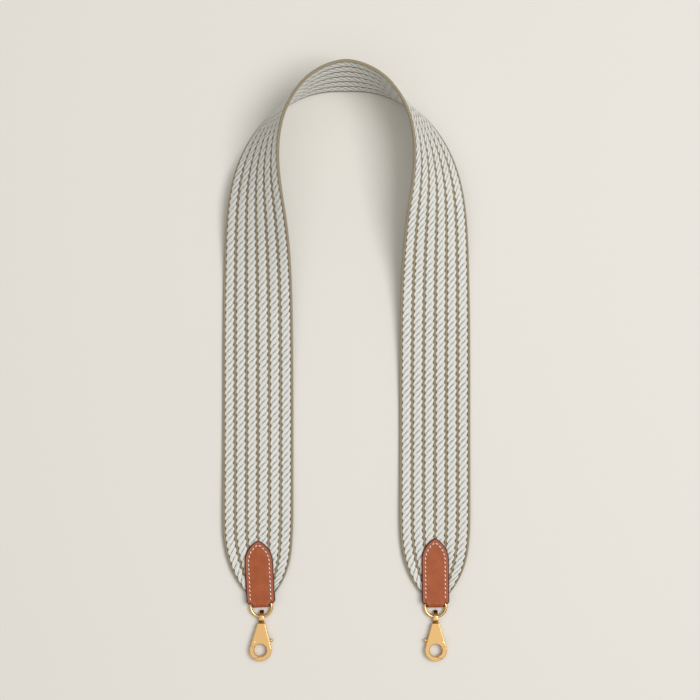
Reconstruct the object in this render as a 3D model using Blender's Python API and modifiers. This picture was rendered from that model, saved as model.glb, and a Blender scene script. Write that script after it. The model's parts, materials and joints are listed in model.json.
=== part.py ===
"""A detachable bag strap: corded webbing that lies in an arch, with a leather tab, a D-ring and a
sprung swivel hook at each end. Metres, +Z up. The arch is at +Y and the hooks are at -Y.
"""

import math

import bmesh
import bpy
import numpy as np
from mathutils import Vector

# Webbing
webbing_width = 0.0500
ground_thickness = 0.0019
cord_count = 6
cord_width = 0.0062
cord_thickness = 0.0026
selvedge_width = 0.0019  # of the ground, outside the outer cords
cord_sides = 8
cord_gap = 0.0003

# How the webbing lies: it stands on its outer edge in the arch and turns flat along the legs
turn_length = 0.1323  # from the middle of the arch to where the leg runs straight
lean_length = 0.3570  # from the middle of the arch to where the last of the lean is gone
lean_angle = 105.94  # at the middle of the arch, from lying flat
lean_power_shares = (1.472, 4.583)
arch_lift = 0.0080
lift_start = 0.0287
lift_end = 0.1850
skew_angle = -4.4
skew_length = 0.0600
rise_start = 0.2600  # from the middle of the arch to where the leg starts to rise to the ring
tab_run = 0.3585  # from the middle of the arch to the tip of the leather
taper_lead = 0.0285  # how far before the tab the webbing starts to narrow
taper_length = 0.0770
taper_power_share = 3.74
taper_least_share = 0.36
turn_steps, lean_steps, leg_steps, taper_steps = 12, 8, 1, 7
route_step = 0.0005

# Leather tab, folded round the bar of the ring
tab_length = 0.0485
tab_width = 0.0197
tab_shoulder = 0.0140
tab_corner = 0.0011
neck_width = 0.0120
leather_thickness = 0.0014
leather_gap = 0.0003
webbing_end_gap = 0.0007

# D-ring
ring_wire = 0.0021
ring_width = 0.0148
ring_depth = 0.0097
ring_corner = 0.0020
leg_clearance = 0.0003

# Swivel eye
eye_width = 0.0030
eye_wall = 0.0014
eye_opening = 0.0030
eye_slack = 0.0004
eye_reach = 0.0050  # length of the opening, along the strap
collar_radius = 0.00195
collar_start = 0.0021
collar_end = 0.0034
collar_edge = 0.0003
stem_radius = 0.0008
head_radius = 0.0013
head_length = 0.0010
running_gap = 0.00015

# Hook
hook_neck_gap = 0.0009  # between the collar and the hook
hook_length = 0.02665
hook_top_width = 0.0053
hook_radius = 0.0076
hook_thickness = 0.0042
hook_edge = 0.0005
hole_radius = 0.0045
hole_edge = 0.0004
cap_wall = 0.0016

# Gate, its lever, pin and spring. Places are from the centre of the hook's hole.
pivot_across = 0.0048
pivot_along = 0.0054
pin_radius = 0.0007
pin_gap = 0.0001
gate_opening = 20.0
gate_gap = 0.0002
cheek_radius = 0.0029
mouth_radius = 0.0112
lever_thickness = 0.0015
lever_slot_gap = 0.00015
lever_width = 0.0016
tongue_radius = 0.0014
knob_across = 0.0074
knob_along = 0.0070
knob_radius = 0.0012
spring_across = 0.0022
spring_seat = 0.0129
spring_radius = 0.00062
spring_wire = 0.00026
spring_turns = 5

# How each end lies, in degrees about +Z, and the side of the hook that its gate is on
lie_of_end = {
    "left": {"mirror": -1, "tab_turn": 2.8, "hook_turn": -2.0, "gate_side": -1},
    "right": {"mirror": 1, "tab_turn": 0.5, "hook_turn": 0.4, "gate_side": 1},
}

overrun = 0.0030  # how far cutters pass beyond what they cut
weld_distance = 0.000001
round_steps = 24
small_steps = 16
sharp_angle = math.radians(35)
rim_angle = math.radians(55)
flat_angle = math.radians(0.5)

cord_pitch = (webbing_width - 2 * selvedge_width - cord_width) / (cord_count - 1)
fold_radius = leather_thickness + leather_gap + cord_thickness / 2
axis_height = fold_radius  # of the ring, the eye and the hook, above what the strap lies on
bar_run = tab_length - fold_radius
webbing_end = tab_run + bar_run - ring_wire / 2 - webbing_end_gap
cord_end = webbing_end - cord_pitch / 2
collar_to_hole = hook_neck_gap + hook_length - hook_radius
hook_top = hook_length - hook_radius
pivot = Vector((pivot_across, pivot_along))
knob = Vector((-knob_across, knob_along))


def clear_scene():
    for thing in list(bpy.data.objects):
        bpy.data.objects.remove(thing, do_unlink=True)


def new_collection(name):
    made = bpy.data.collections.new(name)
    bpy.context.scene.collection.children.link(made)
    return made


def new_material(name, color, roughness, metallic=0.0):
    made = bpy.data.materials.new(name)
    made.use_nodes = True
    shader = made.node_tree.nodes["Principled BSDF"]
    shader.inputs["Base Color"].default_value = (*color, 1.0)
    shader.inputs["Roughness"].default_value = roughness
    shader.inputs["Metallic"].default_value = metallic
    return made


def add_object(name, data, collection, material=None, parent=None, place=(0, 0, 0)):
    made = bpy.data.objects.new(name, data)
    collection.objects.link(made)
    made.parent = parent
    made.location = place
    if material:
        made.data.materials.append(material)
    return made


def shade_round(mesh):
    mesh.shade_smooth()
    mesh.set_sharp_from_angle(angle=sharp_angle)


def smooth_step(value):
    value = np.clip(value, 0, 1)
    return value * value * (3 - 2 * value)


# The route of the webbing


def lay_route():
    """Centre line of one half and its frame, by length from the middle of the arch."""
    run = np.arange(0, webbing_end + 2 * route_step, route_step)
    heading = math.pi / 2 * np.sin(math.pi / 2 * np.clip(run / turn_length, 0, 1))
    early, late = lean_power_shares
    lean = math.radians(lean_angle) * (1 - np.clip(run / lean_length, 0, 1) ** early) ** late
    lift_share = np.clip((run - lift_start) / (lift_end - lift_start), 0, 1)
    height = webbing_width / 2 * np.sin(lean) + cord_thickness / 2 * np.abs(np.cos(lean))
    height += arch_lift * np.sin(math.pi * lift_share) ** 2
    rise_share = (run - rise_start) / (tab_run - rise_start)
    height += (axis_height - cord_thickness / 2) * smooth_step(rise_share)
    climb = np.arcsin(np.gradient(height, route_step))
    level = np.cos(climb)
    along = np.stack([level * np.cos(heading), -level * np.sin(heading), np.sin(climb)], 1)
    steps = (along[1:, :2] + along[:-1, :2]) / 2 * route_step
    plan = np.concatenate([np.zeros((1, 2)), np.cumsum(steps, 0)])
    centre = np.column_stack([plan, height])
    inward = np.stack([-np.sin(heading), -np.cos(heading), np.zeros_like(run)], 1)
    across = np.cos(lean)[:, None] * inward
    across[:, 2] = np.sin(lean)
    across -= (across * along).sum(1)[:, None] * along
    skew = math.radians(skew_angle) * np.sin(math.pi * np.clip(run / skew_length, 0, 1))
    across += np.tan(skew)[:, None] * along
    across /= np.linalg.norm(across, axis=1)[:, None]
    up = np.cross(across, along)
    up /= np.linalg.norm(up, axis=1)[:, None]
    return run, centre, across, up


route_run, route_centre, route_across, route_up = lay_route()


def on_route(table, run):
    return np.array([np.interp(run, route_run, table[:, axis]) for axis in range(3)])


def taper(run):
    """Share of its width that the webbing keeps as it narrows into the leather."""
    past = max(0.0, run - tab_run + taper_lead) / taper_length
    return max(taper_least_share, 1 - past**taper_power_share)


leg_across = on_route(route_centre, tab_run)[0]


def end_reach(lie):
    """How far an end reaches in -Y from the tip of its leather."""
    tab_part = (bar_run + ring_depth) * math.cos(math.radians(lie["tab_turn"]))
    hook_part = (collar_end + collar_to_hole) * math.cos(math.radians(lie["hook_turn"]))
    return tab_part + hook_part + hook_radius


arch_top = (route_centre + route_across * webbing_width / 2)[:, 1].max()
arch_top += ground_thickness / 2 * abs(route_up[0][1])
ends_low = on_route(route_centre, tab_run)[1] - max(map(end_reach, lie_of_end.values()))
middle_along = (arch_top + ends_low) / 2


def place_on_webbing(across, run, up):
    """From a place on the straight webbing to the same place on the strap as it lies."""
    side = "left" if run < 0 else "right"
    lie = lie_of_end[side]
    half = abs(run)
    centre = on_route(route_centre, half)
    spot = centre + on_route(route_across, half) * across * taper(half)
    spot += on_route(route_up, half) * up
    spot[0] *= lie["mirror"]
    spot[0] += math.tan(math.radians(lie["tab_turn"])) * max(0.0, half - tab_run)
    spot[1] -= middle_along
    return Vector(spot)


def stations(end):
    """Where the webbing is divided, closest where it bends most."""
    half = [
        *np.linspace(0, turn_length, turn_steps, endpoint=False),
        *np.linspace(turn_length, rise_start, lean_steps, endpoint=False),
        *np.linspace(rise_start, tab_run - taper_lead, leg_steps, endpoint=False),
        *np.linspace(tab_run - taper_lead, end, taper_steps),
    ]
    return [-run for run in reversed(half[1:])] + half


def cord_places():
    return [(index - (cord_count - 1) / 2) * cord_pitch for index in range(cord_count)]


def lay_on_route(name, shape):
    for vert in shape.verts:
        vert.co = place_on_webbing(*vert.co)
    mesh = bpy.data.meshes.new(name)
    shape.to_mesh(mesh)
    shape.free()
    return mesh


def add_ground(collection, material):
    """A flat tape with a slot for each cord, laid on the route and given its thickness."""
    slot = cord_width / 2 + cord_gap
    breaks = [-webbing_width / 2]
    for place in cord_places():
        breaks += [place - slot, place + slot]
    breaks.append(webbing_width / 2)
    runs = stations(cord_end + cord_gap)
    runs = [-webbing_end, *runs, webbing_end]
    shape = bmesh.new()
    columns, rows = len(breaks) - 1, len(runs) - 1
    bmesh.ops.create_grid(shape, x_segments=columns, y_segments=rows, size=1)
    slots = []
    for face in shape.faces:
        middle = face.calc_center_median()
        column = int((middle.x + 1) / 2 * columns)
        row = int((middle.y + 1) / 2 * rows)
        if column % 2 and 0 < row < rows - 1:
            slots.append(face)
    for vert in shape.verts:
        column = round((vert.co.x + 1) / 2 * columns)
        row = round((vert.co.y + 1) / 2 * rows)
        vert.co = (breaks[column], runs[row], 0)
    bmesh.ops.delete(shape, geom=slots, context="FACES")
    made = add_object("webbing_ground", lay_on_route("webbing_ground", shape), collection, material)
    wall = made.modifiers.new("tape", "SOLIDIFY")
    wall.thickness = ground_thickness
    wall.offset = 0
    return made


def add_cord(name, place, collection, material):
    """A round bar pressed a little flat, cut at each station and laid on the route."""
    shape = bmesh.new()
    bmesh.ops.create_cone(
        shape, cap_ends=True, segments=cord_sides, radius1=1, radius2=1, depth=2 * cord_end
    )
    turn = math.pi / cord_sides
    for vert in shape.verts:
        angle = math.atan2(vert.co.y, vert.co.x) + turn
        half_across = cord_width / 2 * math.cos(angle) / math.cos(turn)
        half_up = cord_thickness / 2 * math.sin(angle) / math.cos(turn)
        vert.co = (place + half_across, -vert.co.z, half_up)
    for run in stations(cord_end)[1:-1]:
        everything = [*shape.verts, *shape.edges, *shape.faces]
        bmesh.ops.bisect_plane(shape, geom=everything, plane_co=(0, run, 0), plane_no=(0, 1, 0))
    mesh = lay_on_route(name, shape)
    shade_round(mesh)
    return add_object(name, mesh, collection, material)


# Shapes that the fittings are made from


def arc(centre, radius, start, end, steps):
    """Points on an arc, with its angles in degrees."""
    angles = np.radians(np.linspace(start, end, steps + 1))
    return [(centre[0] + radius * math.cos(a), centre[1] + radius * math.sin(a)) for a in angles]


def mesh_of_curve(curve, collection, material, parent, place):
    """The curve's shape as a closed mesh, in place of the curve."""
    bpy.context.view_layer.update()
    graph = bpy.context.evaluated_depsgraph_get()
    mesh = bpy.data.meshes.new_from_object(curve.evaluated_get(graph))
    shape = bmesh.new()
    shape.from_mesh(mesh)
    bmesh.ops.remove_doubles(shape, verts=shape.verts, dist=weld_distance)
    bmesh.ops.dissolve_limit(shape, angle_limit=flat_angle, verts=shape.verts, edges=shape.edges)
    bmesh.ops.recalc_face_normals(shape, faces=shape.faces)
    shape.to_mesh(mesh)
    shape.free()
    mesh.materials.clear()
    name = curve.name
    bpy.data.objects.remove(curve, do_unlink=True)
    mesh.name = name
    return add_object(name, mesh, collection, material, parent, place)


def plate(name, outline, thickness, collection, material=None, parent=None, place=(0, 0, 0)):
    """A flat plate with this outline, as thick below its plane as above."""
    data = bpy.data.curves.new(name, "CURVE")
    data.dimensions = "2D"
    data.fill_mode = "BOTH"
    data.extrude = thickness / 2
    spline = data.splines.new("POLY")
    spline.points.add(len(outline) - 1)
    for point, (across, along) in zip(spline.points, outline):
        point.co = (across, along, 0, 1)
    spline.use_cyclic_u = True
    curve = add_object(name, data, collection)
    return mesh_of_curve(curve, collection, material, parent, place)


def wire(name, points, diameter, collection, material=None, closed=False):
    """A round wire along these points, with flat ends."""
    data = bpy.data.curves.new(name, "CURVE")
    data.dimensions = "3D"
    data.bevel_depth = diameter / 2
    data.use_fill_caps = True
    spline = data.splines.new("POLY")
    spline.points.add(len(points) - 1)
    for point, spot in zip(spline.points, points):
        point.co = (*spot, 1)
    spline.use_cyclic_u = closed
    return add_object(name, data, collection, material)


def turned(name, profile, steps, collection, parent=None, place=(0, 0, 0)):
    """A profile of radius and height, listed from the top down, turned about the object's Y."""
    mesh = bpy.data.meshes.new(name)
    spots = [(radius, 0, height) for radius, height in profile]
    mesh.from_pydata(spots, [(i, i + 1) for i in range(len(spots) - 1)], [])
    made = add_object(name, mesh, collection, None, parent, place)
    made.rotation_euler.x = -math.pi / 2
    screw = made.modifiers.new("turn", "SCREW")
    screw.steps = screw.render_steps = steps
    screw.use_merge_vertices = True
    screw.merge_threshold = weld_distance
    screw.use_smooth_shade = True
    return made


def rod(name, radius, length, steps, collection, material=None, parent=None, place=(0, 0, 0)):
    """A cylinder that stands along Z."""
    shape = bmesh.new()
    bmesh.ops.create_cone(
        shape, cap_ends=True, segments=steps, radius1=radius, radius2=radius, depth=length
    )
    mesh = bpy.data.meshes.new(name)
    shape.to_mesh(mesh)
    shape.free()
    shade_round(mesh)
    return add_object(name, mesh, collection, material, parent, place)


def combine(target, tool, operation):
    step = target.modifiers.new(tool.name, "BOOLEAN")
    step.operation = operation
    step.object = tool


def hide_cutter(tool):
    tool.hide_render = True
    tool.display_type = "WIRE"
    return tool


# The fittings of one end. Each lies along its own -Y, with +Z up.


def add_tab(name, collection, cutters, material, end):
    """A folded strip, seen from the side as a U, trimmed to the outline seen from above."""
    inner = fold_radius - leather_thickness
    bend = (-bar_run, 0)
    outer_arc = arc(bend, fold_radius, 90, 270, round_steps // 2)
    inner_arc = arc(bend, inner, 270, 90, round_steps // 2)
    outline = [(overrun, fold_radius), *outer_arc, (overrun, -fold_radius)]
    outline += [(overrun, -inner), *inner_arc, (overrun, inner)]
    tab = plate(name, outline, tab_width + overrun, collection, material, end)
    for vert in tab.data.vertices:
        along, up, across = vert.co
        vert.co = (across, along, up)
    half = tab_width / 2
    tip_radius = (tab_shoulder**2 + half**2) / tab_width
    tip_angle = math.degrees(math.asin(tab_shoulder / tip_radius))
    right = arc((half - tip_radius, -tab_shoulder), tip_radius, tip_angle, 0, small_steps // 2)
    leg_outside = ring_width / 2 + ring_wire / 2 + leg_clearance
    notch = -bar_run + leg_clearance / 3
    right += [
        (half, notch + half - leg_outside),
        (leg_outside, notch),
        (neck_width / 2, notch),
        (neck_width / 2, -tab_length - overrun),
    ]
    left = [(-across, along) for across, along in reversed(right)]
    trim = plate(f"{name}_trim", right + left[:-1], 2 * fold_radius + overrun, cutters, None, end)
    combine(tab, hide_cutter(trim), "INTERSECT")
    return tab


def add_ring(name, collection, material, parent):
    half = ring_width / 2
    bow = ring_depth - half
    corner = half - ring_corner
    path = [
        *arc((corner, -ring_corner), ring_corner, 90, 0, 4),
        *arc((0, -bow), half, 0, -180, round_steps // 2),
        *arc((-corner, -ring_corner), ring_corner, 180, 90, 4),
    ]
    ring = wire(name, [(across, along, 0) for across, along in path], ring_wire, collection, material, True)
    ring.data.bevel_resolution = 2
    ring.parent = parent
    ring.location = (0, -bar_run, 0)
    return ring


def add_eye(name, collection, cutters, material, parent, turn):
    """A stirrup of flattened wire, joined to a turned collar, stem and head."""
    middle_radius = eye_opening / 2 + eye_wall / 2
    low = -ring_wire / 2 - eye_slack + eye_opening / 2
    high = low + eye_reach - eye_opening
    path = arc((high, 0), middle_radius, -90, 90, small_steps // 2)
    path += arc((low, 0), middle_radius, 90, 270, small_steps // 2)
    loop = wire(name, [(0, along, up) for along, up in path], eye_wall, collection, None, True)
    loop.data.bevel_resolution = 2
    eye = mesh_of_curve(loop, collection, material, parent, (0, -ring_depth, 0))
    for vert in eye.data.vertices:
        vert.co.x *= eye_width / eye_wall
    eye.rotation_euler.z = turn
    head_start = collar_end + hook_neck_gap + cap_wall + running_gap
    profile = [
        (0, -collar_start),
        (collar_radius - collar_edge, -collar_start),
        (collar_radius, -collar_start - collar_edge),
        (collar_radius, -collar_end + collar_edge),
        (collar_radius - collar_edge, -collar_end),
        (stem_radius, -collar_end),
        (stem_radius, -head_start),
        (head_radius, -head_start),
        (head_radius, -head_start - head_length),
        (0, -head_start - head_length),
    ]
    shank = turned(f"{name}_shank", profile, small_steps, cutters, eye)
    combine(eye, hide_cutter(shank), "UNION")
    return eye


def sided(points, side):
    return [(across * side, along) for across, along in points]


def hook_outline():
    """A round end drawn up by two flanks, tangent to it, to a narrow square top."""
    half = hook_top_width / 2
    reach = math.hypot(half, hook_top)
    touch = math.degrees(math.atan2(hook_top, half) - math.acos(hook_radius / reach))
    return [(-half, hook_top), *arc((0, 0), hook_radius, 180 - touch, 360 + touch, round_steps), (half, hook_top)]


def add_blank(name, side, collection, cutters, material, parent, place):
    """The hook's plate with its edges eased and its hole, before the gate is cut from it."""
    outline = [(x * side - place[0], y - place[1]) for x, y in hook_outline()]
    blank = plate(name, outline, hook_thickness, collection, material, parent, place)
    ease = blank.modifiers.new("edges", "BEVEL")
    ease.width = hook_edge
    ease.segments = 2
    ease.limit_method = "ANGLE"
    ease.angle_limit = rim_angle
    half = hook_thickness / 2
    profile = [
        (0, half + overrun),
        (hole_radius + hole_edge, half + overrun),
        (hole_radius + hole_edge, half),
        (hole_radius, half - hole_edge),
        (hole_radius, hole_edge - half),
        (hole_radius + hole_edge, -half),
        (hole_radius + hole_edge, -half - overrun),
        (0, -half - overrun),
    ]
    hole_place = (-place[0], -place[1], 0)
    hole = turned(f"{name}_hole", profile, round_steps, cutters, blank, hole_place)
    hole.rotation_euler.x = 0
    combine(blank, hide_cutter(hole), "DIFFERENCE")
    return blank


def gate_region(gap):
    """Seen from above, the limb of the hook that opens. All its bounds turn about the pivot."""
    far = hook_radius + overrun
    shoulder = arc(pivot, cheek_radius + gap, -25, -145, small_steps // 2)
    inner_angle = -122 + 12 * bool(gap)
    mouth = arc(pivot, mouth_radius - gap, inner_angle, -78, small_steps // 2)
    inside = [(mouth[0][0], -hole_radius / 2)] if gap else []
    return shoulder + inside + mouth + [(far, mouth[-1][1]), (far, shoulder[0][1])]


def lever_lines(margin, turn):
    """The lever's end beyond the knob's centre and both its edges, turned about the pivot."""
    arm = knob - pivot
    angle = math.atan2(arm.y, arm.x) - math.radians(turn)
    along = Vector((math.cos(angle), math.sin(angle)))
    side = Vector((-along.y, along.x)) * (lever_width / 2 + margin)
    return along, side, math.degrees(angle)


def add_gate(name, side, collection, cutters, material, hook):
    """One limb of the ring, with a thin tongue at the pivot and a lever out to the knob."""
    place = Vector((pivot.x * side, pivot.y, 0))
    gate = add_blank(name, side, collection, cutters, material, hook, place)
    region = sided(gate_region(gate_gap), side)
    limb = plate(f"{name}_limb", region, hook_thickness + overrun, cutters, None, gate, -place)
    combine(gate, hide_cutter(limb), "INTERSECT")
    along, edge, angle = lever_lines(0, 0)
    end = knob
    web = cheek_radius + lever_width / 2 + gate_gap
    outline = [tuple(end - edge), *arc(pivot, tongue_radius, angle - 30, -50, small_steps // 2)]
    outline += arc(pivot, web, -62, -95, 2)
    outline += [*arc(pivot, tongue_radius, -135, angle - 360 + 28, 3), tuple(end + edge)]
    lever = plate(f"{name}_lever", sided(outline, side), lever_thickness, cutters, None, gate, -place)
    combine(gate, hide_cutter(lever), "UNION")
    ball = bmesh.new()
    bmesh.ops.create_uvsphere(ball, u_segments=small_steps, v_segments=small_steps // 2, radius=knob_radius)
    mesh = bpy.data.meshes.new(f"{name}_knob")
    ball.to_mesh(mesh)
    ball.free()
    thumb_place = Vector((knob.x * side, knob.y, 0)) - place
    thumb = add_object(f"{name}_knob", mesh, cutters, None, gate, thumb_place)
    combine(gate, hide_cutter(thumb), "UNION")
    bore_length = lever_thickness + overrun
    bore = rod(f"{name}_bore", pin_radius + pin_gap, bore_length, small_steps, cutters, None, gate)
    combine(gate, hide_cutter(bore), "DIFFERENCE")
    return gate


def cut_hook(hook, side, cutters):
    """What the gate, its lever, its pin and its spring need, and the seat of the swivel's head."""
    limb = plate(f"{hook.name}_mouth", sided(gate_region(0), side), hook_thickness + overrun, cutters, None, hook)
    combine(hook, hide_cutter(limb), "DIFFERENCE")
    slot_height = lever_thickness + 2 * lever_slot_gap
    margin = gate_gap
    shut, shut_edge, shut_angle = lever_lines(margin, 0)
    open_, open_edge, open_angle = lever_lines(margin, gate_opening)
    reach = (knob - pivot).length + overrun
    radius = cheek_radius + gate_gap
    turn = math.degrees(math.asin((lever_width / 2 + margin) / radius))
    outline = [tuple(pivot + shut * reach + shut_edge)]
    outline += arc(pivot, radius, shut_angle + turn, open_angle - turn + 360, round_steps)
    outline.append(tuple(pivot + open_ * reach - open_edge))
    slot = plate(f"{hook.name}_slot", sided(outline, side), slot_height, cutters, None, hook)
    combine(hook, hide_cutter(slot), "DIFFERENCE")
    half = spring_radius + spring_wire / 2 + lever_slot_gap
    low = lever_top(spring_across)
    pocket = [
        (-spring_across - half, low),
        (-spring_across + half, low),
        (-spring_across + half, spring_seat),
        (-spring_across - half, spring_seat),
    ]
    pocket = plate(f"{hook.name}_pocket", sided(pocket, side), slot_height, cutters, None, hook)
    combine(hook, hide_cutter(pocket), "DIFFERENCE")
    bore_place = (pivot.x * side, pivot.y, 0)
    bore = rod(
        f"{hook.name}_pin_bore", pin_radius + pin_gap, hook_thickness + overrun, small_steps, cutters, None, hook,
        bore_place,
    )
    combine(hook, hide_cutter(bore), "DIFFERENCE")
    cap = hook_top - cap_wall
    profile = [
        (0, hook_top + overrun),
        (stem_radius + running_gap, hook_top + overrun),
        (stem_radius + running_gap, cap),
        (head_radius + running_gap, cap),
        (head_radius + running_gap, cap - head_length - 2 * running_gap),
        (0, cap - head_length - 2 * running_gap),
    ]
    seat = turned(f"{hook.name}_seat", profile, small_steps, cutters, hook)
    combine(hook, hide_cutter(seat), "DIFFERENCE")


def lever_top(across):
    """How far along the hook the shut lever's upper edge lies, this far across."""
    along, edge, angle = lever_lines(0, 0)
    share = (-across - pivot.x) / along.x
    return pivot.y + along.y * share + lever_width / 2 / abs(along.x)


def add_spring(name, side, collection, material, hook):
    low = lever_top(spring_across) + spring_wire / 2 + lever_slot_gap + gate_gap / 2
    high = spring_seat - spring_wire / 2 - lever_slot_gap
    pieces = spring_turns * 8
    points = []
    for index in range(pieces + 1):
        angle = 2 * math.pi * index / 8
        across = -spring_across * side + spring_radius * math.cos(angle)
        points.append((across, low + (high - low) * index / pieces, spring_radius * math.sin(angle)))
    spring = wire(name, points, spring_wire, collection)
    spring.data.bevel_resolution = 1
    print(f"{name}: least gap between turns {(high - low) / spring_turns - spring_wire:.5f} m")
    return mesh_of_curve(spring, collection, material, hook, (0, 0, 0))


def add_end(side, parts, cutters, leather, gold, steel):
    lie = lie_of_end[side]
    end = add_object(f"{side}_end", None, parts)
    end.location = (leg_across * lie["mirror"], on_route(route_centre, tab_run)[1] - middle_along, axis_height)
    end.rotation_euler.z = math.radians(lie["tab_turn"])
    add_tab(f"{side}_leather_tab", parts, cutters, leather, end)
    ring = add_ring(f"{side}_d_ring", parts, gold, end)
    yaw = math.radians(lie["hook_turn"] - lie["tab_turn"])
    eye = add_eye(f"{side}_swivel_eye", parts, cutters, gold, ring, yaw)
    gate_side = lie["gate_side"]
    hook_place = (0, -collar_end - collar_to_hole, 0)
    hook = add_blank(f"{side}_hook_body", gate_side, parts, cutters, gold, eye, (0, 0, 0))
    hook.location = hook_place
    cut_hook(hook, gate_side, cutters)
    add_gate(f"{side}_gate", gate_side, parts, cutters, gold, hook)
    pin_place = (pivot.x * gate_side, pivot.y, 0)
    rod(f"{side}_gate_pin", pin_radius, hook_thickness, small_steps, parts, gold, hook, pin_place)
    add_spring(f"{side}_gate_spring", gate_side, parts, steel, hook)


def main():
    clear_scene()
    parts = new_collection("bag_strap")
    cutters = new_collection("cutters")
    taupe = new_material("taupe_tape", (0.33, 0.28, 0.22), 0.9)
    white = new_material("white_cord", (0.74, 0.74, 0.71), 0.85)
    leather = new_material("tan_leather", (0.36, 0.10, 0.04), 0.5)
    gold = new_material("gold_plate", (0.78, 0.50, 0.20), 0.2, 1.0)
    steel = new_material("spring_steel", (0.55, 0.55, 0.55), 0.35, 1.0)
    add_ground(parts, taupe)
    for number, place in enumerate(cord_places(), 1):
        add_cord(f"cord_{number}", place, parts, white)
    for side in lie_of_end:
        add_end(side, parts, cutters, leather, gold, steel)


main()
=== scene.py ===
import json
import math

import bpy
import numpy as np
from mathutils import Matrix, Vector


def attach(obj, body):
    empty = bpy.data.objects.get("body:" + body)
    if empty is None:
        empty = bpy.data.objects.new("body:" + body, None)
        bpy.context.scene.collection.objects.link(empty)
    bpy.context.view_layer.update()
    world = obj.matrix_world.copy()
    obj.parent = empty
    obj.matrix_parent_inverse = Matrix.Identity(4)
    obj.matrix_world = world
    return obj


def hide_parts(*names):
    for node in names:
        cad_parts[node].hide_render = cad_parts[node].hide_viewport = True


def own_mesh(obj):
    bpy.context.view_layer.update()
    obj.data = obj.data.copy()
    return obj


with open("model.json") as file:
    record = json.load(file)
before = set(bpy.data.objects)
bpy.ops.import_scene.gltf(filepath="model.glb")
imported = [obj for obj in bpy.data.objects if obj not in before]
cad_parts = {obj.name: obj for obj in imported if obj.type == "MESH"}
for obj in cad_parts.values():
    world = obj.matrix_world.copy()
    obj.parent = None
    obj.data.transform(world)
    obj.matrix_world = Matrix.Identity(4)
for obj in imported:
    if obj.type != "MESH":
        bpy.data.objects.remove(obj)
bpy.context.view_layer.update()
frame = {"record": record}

mm = 0.001  # sizes are in mm unless a note says otherwise
sides = {"left": -1, "right": 1}
joints = {joint["name"]: joint for joint in frame["record"]["behaviour"]["joints"]}


# small helpers for picking, cutting and joining

def deselectAll():
    if bpy.context.object and bpy.context.object.mode != "OBJECT":
        bpy.ops.object.mode_set(mode="OBJECT")
    bpy.ops.object.select_all(action="DESELECT")


def pick(piece):
    deselectAll()
    piece.select_set(True)
    bpy.context.view_layer.objects.active = piece


def named(piece, name):
    piece.name = name
    piece.data.name = name
    return piece


# leaves edit mode on, with only the faces that pass the test selected
def selectFaces(piece, test):
    pick(piece)
    bpy.ops.object.mode_set(mode="EDIT")
    bpy.ops.mesh.select_mode(type="FACE")
    bpy.ops.mesh.select_all(action="DESELECT")
    bpy.ops.object.mode_set(mode="OBJECT")
    for face in piece.data.polygons:
        face.select = bool(test(face))
    bpy.ops.object.mode_set(mode="EDIT")


# the same for edges, tested by their two ends
def selectEdges(piece, test):
    pick(piece)
    bpy.ops.object.mode_set(mode="EDIT")
    bpy.ops.mesh.select_mode(type="EDGE")
    bpy.ops.mesh.select_all(action="DESELECT")
    bpy.ops.object.mode_set(mode="OBJECT")
    spots = [vert.co for vert in piece.data.vertices]
    for edge in piece.data.edges:
        edge.select = bool(test(*[spots[i] for i in edge.vertices]))
    bpy.ops.object.mode_set(mode="EDIT")


def applyAll(piece):
    pick(piece)
    for step in [modifier.name for modifier in piece.modifiers]:
        bpy.ops.object.modifier_apply(modifier=step)


def tidyNormals(piece):
    pick(piece)
    bpy.ops.object.mode_set(mode="EDIT")
    bpy.ops.mesh.select_all(action="SELECT")
    bpy.ops.mesh.remove_doubles(threshold=0.000002)
    bpy.ops.mesh.normals_make_consistent(inside=False)
    bpy.ops.object.mode_set(mode="OBJECT")


def smooth(piece, angle=35):
    pick(piece)
    bpy.ops.object.shade_smooth_by_angle(angle=math.radians(angle))


# keeps a flat face flat to the eye where it meets a rounded rim
def steadyShade(piece, angle=35):
    smooth(piece, angle)
    steady = piece.modifiers.new("flat faces first", "WEIGHTED_NORMAL")
    steady.keep_sharp = True
    steady.weight = 100
    applyAll(piece)


# faces outwards and smooth all over, for a closed mesh made in code
def facesOut(piece):
    pick(piece)
    bpy.ops.object.mode_set(mode="EDIT")
    bpy.ops.mesh.select_all(action="SELECT")
    bpy.ops.mesh.normals_make_consistent(inside=False)
    bpy.ops.object.mode_set(mode="OBJECT")
    bpy.ops.object.shade_smooth()


# one number for each point, for a material to read
def addShare(piece, name, values):
    layer = piece.data.attributes.new(name, "FLOAT", "POINT")
    layer.data.foreach_set("value", np.asarray(values, dtype=np.float32).ravel())


# moves a piece made at the origin to its place, into its mesh
def settle(piece, matrix):
    pick(piece)
    piece.matrix_world = matrix @ piece.matrix_world
    bpy.ops.object.transform_apply(location=True, rotation=True, scale=True)


def joinAll(pieces, name):
    pick(pieces[0])
    for piece in pieces:
        piece.select_set(True)
    if len(pieces) > 1:
        bpy.ops.object.join()
    return named(bpy.context.object, name)


def cut(piece, cutter, operation="DIFFERENCE", keep=False):
    step = piece.modifiers.new(operation, "BOOLEAN")
    step.operation = operation
    step.solver = "EXACT"
    step.object = cutter
    pick(piece)
    bpy.ops.object.modifier_apply(modifier=step.name)
    if not keep:
        bpy.data.objects.remove(cutter, do_unlink=True)


def meshPiece(name, points, faces, uv=None):
    mesh = bpy.data.meshes.new(name)
    mesh.from_pydata(points, [], faces)
    if uv is not None:
        layer = mesh.uv_layers.new(name="lay")
        loopPoints = np.empty(len(mesh.loops), dtype=np.int32)
        mesh.loops.foreach_get("vertex_index", loopPoints)
        layer.data.foreach_set("uv", np.asarray(uv, dtype=np.float32)[loopPoints].ravel())
    mesh.update()
    piece = bpy.data.objects.new(name, mesh)
    bpy.context.scene.collection.objects.link(piece)
    return piece


# materials

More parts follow.
